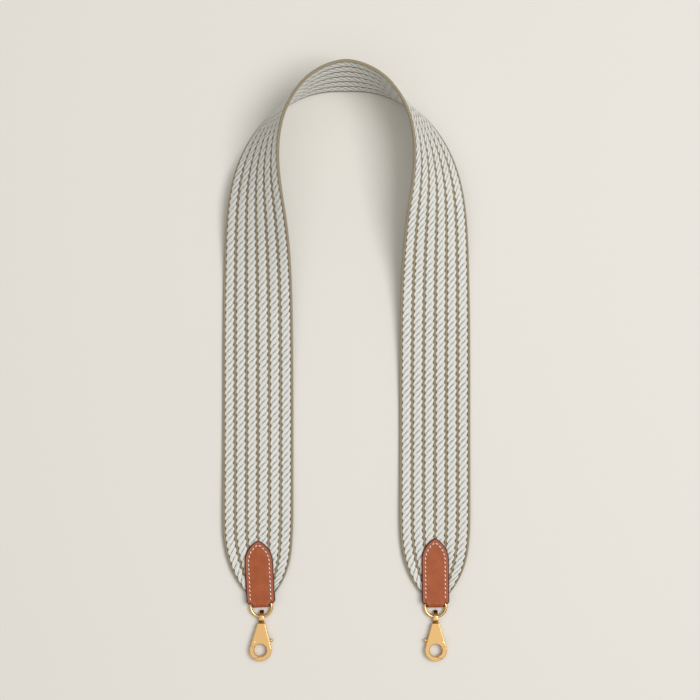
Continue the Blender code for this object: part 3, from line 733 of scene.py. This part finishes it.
# one flat strip cut to its outline, rounded at the edge, then folded round the ring's bar
def addTab(side):
    quarter = tabQuarter(side)
    outline = quarter + [(-x, t) for x, t in reversed(quarter[:-1])]
    outline += [(-x, -t) for x, t in quarter[1:]] + [(x, -t) for x, t in reversed(quarter[1:-1])]
    deselectAll()
    piece = meshPiece(f"{side}_tab_leather", [(x * mm, t * mm, -tab["thick"] / 2 * mm) for x, t in outline],
                      [list(range(len(outline)))])
    pick(piece)
    bpy.ops.object.mode_set(mode="EDIT")
    bpy.ops.mesh.select_all(action="SELECT")
    bpy.ops.mesh.extrude_region_move(TRANSFORM_OT_translate={"value": (0, 0, tab["thick"] * mm)})
    bpy.ops.mesh.select_all(action="SELECT")
    bpy.ops.mesh.normals_make_consistent(inside=False)
    selectEdges(piece, lambda a, b: abs(a.z - b.z) < 0.1 * mm)
    bpy.ops.mesh.bevel(offset=tab["edgeRound"] * mm, segments=3, affect="EDGES", clamp_overlap=False)
    tip = tab["tip"][side] + tabBend
    columns = np.arange(-tab["columns"], tab["columns"] + 1) * tab["gridX"]
    cuts = [((x * mm, 0, 0), (1, 0, 0)) for x in columns]
    bends = np.arange(-tabBend - tab["bendPast"], tabBend + tab["bendPast"], tab["gridBend"])
    leaf = np.arange(tabBend + tab["leafFrom"], tip, tab["gridY"])
    cuts += [((0, t * mm, 0), (0, 1, 0)) for t in [*bends, *leaf, *-leaf]]
    for spot, normal in cuts:
        bpy.ops.mesh.select_all(action="SELECT")
        bpy.ops.mesh.bisect(plane_co=spot, plane_no=normal)
    bpy.ops.object.mode_set(mode="OBJECT")
    tidyNormals(piece)
    piece.data.materials.append(hide)
    piece.data.materials.append(edgePaint)
    for face in piece.data.polygons:  # the paint covers the rounded edge
        face.material_index = 0 if abs(face.normal.z) > 0.94 else 1
    piece.data.attributes.new("inset", "FLOAT", "POINT")
    piece.data.attributes.new("side", "FLOAT", "POINT")
    inset, sideInset = (piece.data.attributes[name].data for name in ("inset", "side"))
    for i, vert in enumerate(piece.data.vertices):
        x, t, lift = vert.co / mm
        inset[i].value, sideInset[i].value = tabInset(side, x, t)
        vert.co = Vector(foldedSpot(x, t, lift)) * mm
    smooth(piece, 50)
    settle(piece, frameAt(f"{side}_ring_swing"))
    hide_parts(f"{side}_leather_tab")
    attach(piece, "strap")
    return piece


# the stitches on one half of a leaf: how far out, how far below the tip, and which way they run
def stitchLine(side):
    spots = []
    inner = tabRadius[side] - tab["stitchInset"]
    centre = tabRadius[side] - tabHalf[side]
    run = tab["stitchPitch"] * 0.5
    start = math.acos(centre / inner)
    arcLength = start * inner
    while True:
        if run < arcLength:
            angle = start - run / inner
            x, down = inner * math.cos(angle) - centre, tab["shoulder"] - inner * math.sin(angle)
            slant = math.pi / 2 - angle
        else:
            x, down = tabHalf[side] - tab["stitchInset"], tab["shoulder"] + run - arcLength
            slant = math.pi / 2
        if down > tab["lastStitch"]:
            return spots
        spots.append((x, down, slant))
        run += tab["stitchPitch"]


# one stitch, copied along both sides of both leaves
def addStitches(side):
    spots = stitchLine(side)
    place = frameAt(f"{side}_ring_swing")
    made = []
    deselectAll()
    bpy.ops.mesh.primitive_uv_sphere_add(segments=10, ring_count=8, radius=1)
    model = named(bpy.context.object, f"{side}_stitch")
    for vert in model.data.vertices:  # a long bead that dives at its ends
        dive = tab["stitchDive"] * vert.co.x ** 2
        vert.co.x *= tab["stitchLong"] / 2 * mm
        vert.co.y *= tab["stitchWide"] / 2 * mm
        vert.co.z = (vert.co.z * tab["stitchHigh"] - dive) * mm
    for face in (1, -1):
        for flip in (1, -1):
            for x, down, slant in spots:
                copy = model.copy()
                copy.data = model.data.copy()
                bpy.context.scene.collection.objects.link(copy)
                y = tab["tip"][side] - down
                z = face * (tab["foldMiddle"] + tab["thick"] / 2 + tab["stitchLift"])
                angle = -flip * slant + math.radians(tab["stitchLean"])
                spin = Matrix.Rotation(angle, 4, "Z")
                if face < 0:
                    spin = spin @ Matrix.Rotation(math.pi, 4, "X")
                copy.matrix_world = Matrix.Translation(Vector((flip * x, y, z)) * mm) @ spin
                made.append(copy)
    bpy.data.objects.remove(model, do_unlink=True)
    piece = joinAll(made, f"{side}_saddle_stitches")
    bpy.ops.object.transform_apply(location=True, rotation=True, scale=True)
    settle(piece, place)
    bpy.ops.object.shade_smooth()
    piece.data.materials.append(thread)
    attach(piece, "strap")
    return piece


for side in sides:
    addTab(side)
    addStitches(side)
print("leather tabs ready")


# D-rings

ring = {"wire": 2.1, "width": 14.8, "depth": 9.7, "corner": 2.0, "bowSteps": 40, "cornerSteps": 8}


# a round wire through the spots, in mm
def bentWire(name, spots, wide, closed):
    curve = bpy.data.curves.new(name, "CURVE")
    curve.dimensions = "3D"
    curve.bevel_depth = wide / 2 * mm
    curve.bevel_resolution = 5 if closed else 2
    curve.use_fill_caps = not closed
    line = curve.splines.new("POLY")
    line.points.add(len(spots) - 1)
    for point, spot in zip(line.points, spots):
        point.co = (*(Vector(spot) * mm), 1)
    line.use_cyclic_u = closed
    deselectAll()
    piece = bpy.data.objects.new(name, curve)
    bpy.context.scene.collection.objects.link(piece)
    pick(piece)
    bpy.ops.object.convert(target="MESH")
    piece = named(bpy.context.object, name)
    tidyNormals(piece)
    return piece


# places on an arc about x, y, from one angle in degrees to the other
def arcSpots(x, y, radius, start, end, steps):
    angles = np.radians(np.linspace(start, end, steps + 1))
    return [(x + radius * math.cos(angle), y + radius * math.sin(angle), 0) for angle in angles]


def addRing(side):
    half, corner = ring["width"] / 2, ring["corner"]
    spots = arcSpots(half - corner, -corner, corner, 90, 0, ring["cornerSteps"])
    spots += arcSpots(0, half - ring["depth"], half, 0, -180, ring["bowSteps"])
    spots += arcSpots(corner - half, -corner, corner, 180, 90, ring["cornerSteps"])
    piece = bentWire(f"{side}_gold_ring", spots, ring["wire"], True)
    bpy.ops.object.shade_smooth()
    settle(piece, frameAt(f"{side}_ring_swing"))
    piece.data.materials.append(gold)
    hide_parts(f"{side}_d_ring")
    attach(piece, f"{side}_ring")
    return piece


# swivel eyes

eye = {
    "wide": 3.0, "wall": 1.1, "bigRadius": 2.05, "smallRadius": 0.5, "low": 0.05, "end": 4.95, "squareness": 0.45,
    "droop": 22.0,  # how far the point of the drop hangs down inside the ring
    "block": 9.0, "blockWider": 0.28, "blockFrom": 0.8,  # behind the ring's wire the loop is a square block
    # from the middle of the eye's face down the shank: radius, and distance from the ring's wire
    "shank": [(0, 2.0), (1.85, 2.0), (1.85, 2.5), (1.75, 2.62), (1.75, 4.22), (0.8, 4.22), (0.8, 6.3), (0, 6.3)],
    "recess": 2.55,  # below this the shank is a neck in the shade, painted with the darker plate
    "squareFrom": 0.9, "squarePower": 0.5,  # the collar is square, the stem is round
}


def addEye(side):
    deselectAll()
    bpy.ops.mesh.primitive_torus_add(major_segments=96, minor_segments=24, major_radius=eye["bigRadius"] * mm,
                                     minor_radius=eye["wall"] / 2 * mm, rotation=(0, math.pi / 2, 0))
    loop = bpy.context.object
    bpy.ops.object.transform_apply(location=True, rotation=True, scale=True)
    far = eye["end"] - eye["wall"] / 2 - eye["smallRadius"]
    turn = math.acos((eye["bigRadius"] - eye["smallRadius"]) / (far - eye["low"]))
    for vert in loop.data.vertices:  # a drop: a large arc round the ring's wire and a small one at the far end
        angle = math.atan2(vert.co.z, vert.co.y)
        out, across = math.hypot(vert.co.y, vert.co.z) / mm - eye["bigRadius"], vert.co.x / mm
        out, across = (math.copysign(abs(v * 2 / eye["wall"]) ** eye["squareness"], v) for v in (out, across))
        radius, centre = (eye["smallRadius"], far) if abs(angle) < turn else (eye["bigRadius"], eye["low"])
        radius += out * eye["wall"] / 2
        vert.co = Vector((across * eye["wide"] / 2, centre + radius * math.cos(angle), radius * math.sin(angle))) * mm
    loop.data.transform(Matrix.Rotation(math.radians(-eye["droop"]), 4, "X"))
    for vert in loop.data.vertices:
        if vert.co.y < 0:
            angle = math.atan2(vert.co.z, vert.co.y)
            corner = abs(math.cos(angle)) ** eye["block"] + abs(math.sin(angle)) ** eye["block"]
            stretch = corner ** (-1 / eye["block"])
            vert.co.x *= 1 + eye["blockWider"] * min(1, -vert.co.y / (eye["blockFrom"] * mm))
            vert.co.y *= stretch
            vert.co.z *= stretch
    deselectAll()
    shank = meshPiece(f"{side}_shank", [(radius * mm, -down * mm, 0) for radius, down in eye["shank"]], [])
    shank.data.edges.add(len(eye["shank"]) - 1)
    for i, edge in enumerate(shank.data.edges):
        edge.vertices = (i, i + 1)
    pick(shank)
    bpy.ops.object.mode_set(mode="EDIT")
    bpy.ops.mesh.select_all(action="SELECT")
    bpy.ops.mesh.spin(steps=48, angle=2 * math.pi, center=(0, 0, 0), axis=(0, 1, 0))
    bpy.ops.object.mode_set(mode="OBJECT")
    tidyNormals(shank)
    for vert in shank.data.vertices:  # the collar is square too, with rounded corners
        radius = math.hypot(vert.co.x, vert.co.z)
        if radius > eye["squareFrom"] * mm:
            vert.co.x, vert.co.z = (math.copysign(abs(v / radius) ** eye["squarePower"] * radius, v)
                                    for v in (vert.co.x, vert.co.z))
    for part in (loop, shank):
        part.data.materials.append(gold)
        part.data.materials.append(shadedGold)
    # painted shade: the neck below the recess gets the darker plate
    for face in shank.data.polygons:
        face.material_index = 1 if face.center.y < -eye["recess"] * mm else 0
    piece = joinAll([loop, shank], f"{side}_eye_and_collar")
    smooth(piece, 40)
    settle(piece, frameAt(f"{side}_hook_tilt"))
    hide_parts(f"{side}_swivel_eye")
    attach(piece, f"{side}_eye")
    return piece


# hooks: one plate is the pattern for the body and for the gate

hook = {
    "length": 26.8, "topWidth": 5.3, "radius": 7.75, "thick": 4.2, "rim": 0.5, "hole": 4.45, "holeRim": 0.3,
    "cheek": 2.9, "mouth": 11.2, "gap": 0.2, "noseX": 1.04, "noseSweep": -1.2, "shoulderY": 3.62,
    "pivot": (4.8, 5.4), "pin": 0.85, "pinProud": 0.03, "knob": (-7.4, 7.0), "knobRadius": 1.2,
    "lever": 1.6, "leverThick": 1.5, "leverRoom": 0.2, "slotThick": 1.8, "slotLong": 17.0,
    "opening": 20.0, "slotSteps": 6,  # degrees, and how many cuts the slot is swept with
    "boss": 1.4, "bossRoom": 0.1, "web": (-1.0, 1.2, 4.2),  # the gate's middle: left, right and down from the rivet
    "stemHole": 0.95, "stemDepth": 6.0, "past": 14.0,  # how far cutters pass beyond what they cut
}


# the flat drop that both parts of a hook are cut from, with its round hole
def addPlate(name):
    top = hook["length"] - hook["radius"]
    half = hook["topWidth"] / 2
    touch = math.atan2(top, half) - math.acos(hook["radius"] / math.hypot(half, top))
    tangentX = hook["radius"] * math.cos(touch)
    tangentY = hook["radius"] * math.sin(touch)
    deselectAll()
    bpy.ops.mesh.primitive_circle_add(vertices=128, radius=hook["radius"] * mm, fill_type="NGON")
    plate = named(bpy.context.object, name)
    bpy.ops.object.mode_set(mode="EDIT")
    bpy.ops.mesh.select_all(action="SELECT")
    bpy.ops.mesh.bisect(plane_co=(0, tangentY * mm, 0), plane_no=(0, 1, 0), clear_outer=True)
    selectEdges(plate, lambda a, b: min(a.y, b.y) > (tangentY - 0.01) * mm)
    bpy.ops.mesh.extrude_region_move(TRANSFORM_OT_translate={"value": (0, (top - tangentY) * mm, 0)})
    bpy.ops.transform.resize(value=(half / tangentX, 1, 1), center_override=(0, top * mm, 0))
    bpy.ops.mesh.select_all(action="SELECT")
    bpy.ops.mesh.remove_doubles(threshold=0.000005)
    bpy.ops.mesh.dissolve_limited(angle_limit=math.radians(0.5))
    bpy.ops.mesh.select_mode(type="FACE")
    bpy.ops.mesh.select_all(action="SELECT")
    bpy.ops.transform.translate(value=(0, 0, -hook["thick"] / 2 * mm))
    bpy.ops.mesh.extrude_region_move(TRANSFORM_OT_translate={"value": (0, 0, hook["thick"] * mm)})
    bpy.ops.mesh.select_all(action="SELECT")
    bpy.ops.mesh.normals_make_consistent(inside=False)
    bpy.ops.object.mode_set(mode="OBJECT")
    rim = plate.modifiers.new("rim", "BEVEL")
    rim.width = hook["rim"] * mm
    rim.segments = 4
    rim.limit_method = "ANGLE"
    rim.angle_limit = math.radians(50)
    applyAll(plate)
    cut(plate, holeCutter())
    return plate


# the hole's mouth opens out in small steps, so that its rim is round
def holeCutter():
    deselectAll()
    bpy.ops.mesh.primitive_cylinder_add(vertices=96, radius=hook["hole"] * mm,
                                        depth=(hook["thick"] - 2 * hook["holeRim"]) * mm)
    cutter = bpy.context.object
    steps = 4
    for end in (1, -1):
        selectFaces(cutter, lambda face: face.normal.z * end > 0.9)
        radius, level = hook["hole"], 0
        for step in range(1, steps + 1):
            angle = math.pi / 2 * step / steps
            wider = hook["hole"] + hook["holeRim"] * (1 - math.cos(angle))
            higher = hook["holeRim"] * math.sin(angle)
            bpy.ops.mesh.extrude_region_move(TRANSFORM_OT_translate={"value": (0, 0, end * (higher - level) * mm)})
            bpy.ops.transform.resize(value=(wider / radius, wider / radius, 1))
            radius, level = wider, higher
        bpy.ops.mesh.extrude_region_move(TRANSFORM_OT_translate={"value": (0, 0, end * mm)})
        bpy.ops.object.mode_set(mode="OBJECT")
    return cutter


def cylinder(radius, depth, x=0.0, y=0.0, vertices=96):
    deselectAll()
    bpy.ops.mesh.primitive_cylinder_add(vertices=vertices, radius=radius * mm, depth=depth * mm,
                                        location=(x * mm, y * mm, 0))
    bpy.ops.object.transform_apply(location=True, rotation=True, scale=True)
    return bpy.context.object


# a box from edge to edge, level with the middle of the plate
def block(x0, x1, y0, y1, depth):
    deselectAll()
    bpy.ops.mesh.primitive_cube_add(size=1, location=((x0 + x1) / 2 * mm, (y0 + y1) / 2 * mm, 0),
                                    scale=((x1 - x0) * mm, (y1 - y0) * mm, depth * mm))
    bpy.ops.object.transform_apply(location=True, rotation=True, scale=True)
    return bpy.context.object


# the gate's limb, or with no gap the room that it swings in, which goes on past its nose
def limbRegion(gap):
    px, py = hook["pivot"]
    past = hook["past"]
    start = hook["noseX"] if gap else hook["noseSweep"]
    region = block(start, past, -past, hook["shoulderY"], past / 2)
    cut(region, cylinder(hook["mouth"] - gap, past, px, py, 192), "INTERSECT")
    cut(region, cylinder(hook["cheek"] + gap, past, px, py), "DIFFERENCE")
    return region


# hand is -1 at the left end, where the hook is made the other way round
def mirrored(piece, hand):
    if hand < 0:
        pick(piece)
        piece.scale.x = -1
        bpy.ops.object.transform_apply(location=False, rotation=False, scale=True)
        tidyNormals(piece)
    return piece


def addHookBody(side, hand):
    body = addPlate(f"{side}_hook_plate")
    cut(body, limbRegion(0))
    px, py = hook["pivot"]
    kx, ky = hook["knob"]
    spin = math.atan2(py - ky, px - kx)
    for opened in np.linspace(0, hook["opening"], hook["slotSteps"]):  # room for the lever all the way
        half = hook["lever"] / 2 + hook["leverRoom"]
        slot = block(-hook["slotLong"], 0, -half, half, hook["slotThick"])
        turn = Matrix.Rotation(spin - math.radians(opened), 4, "Z")
        slot.data.transform(Matrix.Translation((px * mm, py * mm, 0)) @ turn)
        cut(body, slot)
    cut(body, cylinder(hook["cheek"] + hook["bossRoom"], hook["slotThick"], px, py))
    top = hook["length"] - hook["radius"]
    deselectAll()
    bpy.ops.mesh.primitive_cylinder_add(vertices=32, radius=hook["stemHole"] * mm, depth=hook["stemDepth"] * mm,
                                        rotation=(math.pi / 2, 0, 0), location=(0, top * mm, 0))
    bpy.ops.object.transform_apply(location=True, rotation=True, scale=True)
    cut(body, bpy.context.object)
    mirrored(body, hand)
    steadyShade(body)
    return body


def addGate(side, hand):
    gate = addPlate(f"{side}_gate_limb")
    cut(gate, limbRegion(hook["gap"]), "INTERSECT")
    px, py = hook["pivot"]
    kx, ky = hook["knob"]
    length = math.hypot(px - kx, py - ky)
    lever = block(-length, 0, -hook["lever"] / 2, hook["lever"] / 2, hook["leverThick"])
    spin = math.atan2(py - ky, px - kx)
    lever.data.transform(Matrix.Translation((px * mm, py * mm, 0)) @ Matrix.Rotation(spin, 4, "Z"))
    left, right, down = hook["web"]
    cut(lever, block(px + left, px + right, py - down, py, hook["leverThick"]), "UNION")
    cut(lever, cylinder(hook["boss"], hook["leverThick"], px, py), "UNION")
    cut(gate, lever, "UNION")
    deselectAll()
    bpy.ops.mesh.primitive_uv_sphere_add(segments=32, ring_count=20, radius=hook["knobRadius"] * mm,
                                         location=(kx * mm, ky * mm, 0))
    bpy.ops.object.transform_apply(location=True, rotation=True, scale=True)
    cut(gate, bpy.context.object, "UNION")
    mirrored(gate, hand)
    steadyShade(gate)
    return gate


def addPin(side, hand):
    px, py = hook["pivot"]
    pin = cylinder(hook["pin"], hook["thick"] + 2 * hook["pinProud"], px, py, 40)
    named(pin, f"{side}_rivet")
    rim = pin.modifiers.new("head", "BEVEL")
    rim.width = hook["pinProud"] * mm
    rim.segments = 2
    rim.limit_method = "ANGLE"
    applyAll(pin)
    mirrored(pin, hand)
    smooth(pin, 35)
    return pin


# from the pattern's own place to its end of the strap, with what it is made of and what it stands for
def dress(piece, side, body, replaced, material=None):
    settle(piece, frameAt(f"{side}_hook_swivel", "Y"))
    piece.data.materials.clear()
    piece.data.materials.append(material or gold)
    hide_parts(replaced)
    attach(piece, body)


# the spring above the lever: it shortens as the gate opens
spring = {
    "across": -2.2, "low": 7.5, "high": 12.62, "radius": 0.62, "wire": 0.26, "turns": 5, "steps": 20, "keep": 0.4,
}


def addSpring(side, hand):
    spots = []
    steps = spring["turns"] * spring["steps"]
    for i in range(steps + 1):
        angle = 2 * math.pi * i / spring["steps"]
        out, up = spring["radius"] * math.cos(angle), spring["radius"] * math.sin(angle)
        spots.append((spring["across"] + out, spring["low"] + (spring["high"] - spring["low"]) * i / steps, up))
    piece = bentWire(f"{side}_coil_spring", spots, spring["wire"], False)
    mirrored(piece, hand)
    bpy.ops.object.shade_smooth()
    dress(piece, side, f"{side}_hook", f"{side}_gate_spring", steelWire)
    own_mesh(piece)


for side, hand in sides.items():
    addRing(side)
    addEye(side)
    dress(addHookBody(side, hand), side, f"{side}_hook", f"{side}_hook_body")
    dress(addGate(side, hand), side, f"{side}_gate_arm", f"{side}_gate")
    dress(addPin(side, hand), side, f"{side}_hook", f"{side}_gate_pin")
    addSpring(side, hand)
print("hardware ready")


# floor, light and camera

paper = {"colour": "#E6E3DC", "size": 6.0}  # the size in metres
sky = {"zenith": 0.92, "horizon": 0.30, "from": 0.5, "colour": "#FFFDF8", "backdrop": 0.8}
keyLamp = {"spot": (900, 140, 2000), "aim": (-1100, 0, 0), "size": 1150, "power": 26.7, "tint": (0.98, 0.985, 1.0)}
view = {"spot": (2.53, 10.7, 1200.0), "lens": 87.42, "sensor": 36.0, "nearest": 0.05}  # from straight above


def makeFloor():
    deselectAll()
    bpy.ops.mesh.primitive_plane_add(size=paper["size"], location=(0, 0, 0))
    floor = named(bpy.context.object, "studio_floor")
    material = newMaterial("matt paper backdrop", {
        "Base Color": colour(paper["colour"]), "Roughness": 0.95, "Specular IOR Level": 0.1,
    })[0]
    floor.data.materials.append(material)


# a white ceiling that gets dimmer towards the walls, and one wide window on the right;
# the camera sees past the floor an even pale backdrop
def makeLights():
    world = bpy.data.worlds.new("soft room")
    bpy.context.scene.world = world
    world.use_nodes = True
    tree = world.node_tree
    room = tree.nodes["Background"]
    room.inputs["Color"].default_value = colour(sky["colour"])
    look = addNode(tree, "ShaderNodeTexCoord")
    split = addNode(tree, "ShaderNodeSeparateXYZ", links={"Vector": look.outputs["Generated"]})
    level = addNode(tree, "ShaderNodeMapRange", {
        "From Min": sky["from"], "From Max": 1.0, "To Min": sky["horizon"], "To Max": sky["zenith"],
    }, {"Value": split.outputs["Z"]}, interpolation_type="SMOOTHSTEP")
    path = addNode(tree, "ShaderNodeLightPath")
    seen = addNode(tree, "ShaderNodeMix", {3: sky["backdrop"]},
                   {0: path.outputs["Is Camera Ray"], 2: level.outputs[0]}, data_type="FLOAT")
    tree.links.new(seen.outputs[0], room.inputs["Strength"])
    light = bpy.data.lights.new("window", "AREA")
    light.shape = "SQUARE"
    light.size = keyLamp["size"] * mm
    light.energy = keyLamp["power"]
    light.color = keyLamp["tint"]
    lamp = bpy.data.objects.new("window", light)
    bpy.context.scene.collection.objects.link(lamp)
    lamp.location = Vector(keyLamp["spot"]) * mm
    lamp.rotation_euler = (Vector(keyLamp["aim"]) * mm - lamp.location).to_track_quat("-Z", "Y").to_euler()


def makeCamera():
    lens = bpy.data.cameras.new("camera")
    lens.sensor_width = view["sensor"]
    lens.lens = view["lens"]
    lens.clip_start = view["nearest"]
    camera = bpy.data.objects.new("camera", lens)
    bpy.context.scene.collection.objects.link(camera)
    camera.location = Vector(view["spot"]) * mm
    camera.rotation_euler = (0, 0, 0)
    bpy.context.scene.camera = camera


makeFloor()
makeLights()
makeCamera()
bpy.context.scene.view_settings.view_transform = "Standard"
print("floor, light and camera ready")
